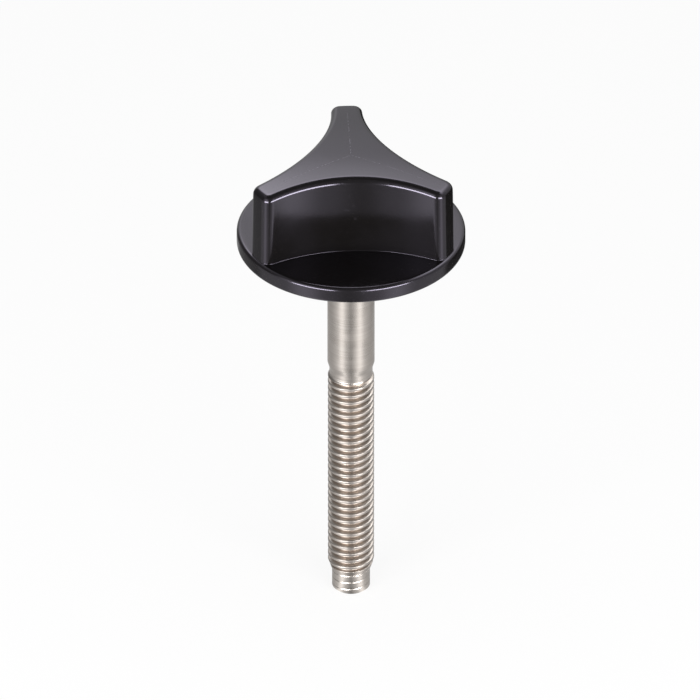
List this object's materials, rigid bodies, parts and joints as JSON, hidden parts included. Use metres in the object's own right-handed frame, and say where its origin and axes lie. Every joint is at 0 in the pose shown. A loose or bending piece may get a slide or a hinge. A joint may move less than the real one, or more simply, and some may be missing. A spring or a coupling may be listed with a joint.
{
  "type": "air filter fixing screw",
  "caption": "Hand-turned fixing screw: a crowned star knob on a round flange, with a threaded stud ending in a plain pilot.",
  "frame": {"origin": "centre of the flange's underside, where the stud's shank starts", "axes": "+Z along the stud, up through the knob; one lobe points along +Y, so one finger bay faces -Y"},
  "size_m": [0.029, 0.029, 0.0649],
  "materials": {
    "black_aluminium": "glossy black anodised",
    "stainless_steel": "turned, bright"
  },
  "bodies": {
    "root": {"knob": "black_aluminium", "stud": "stainless_steel"}
  },
  "joints": []
}
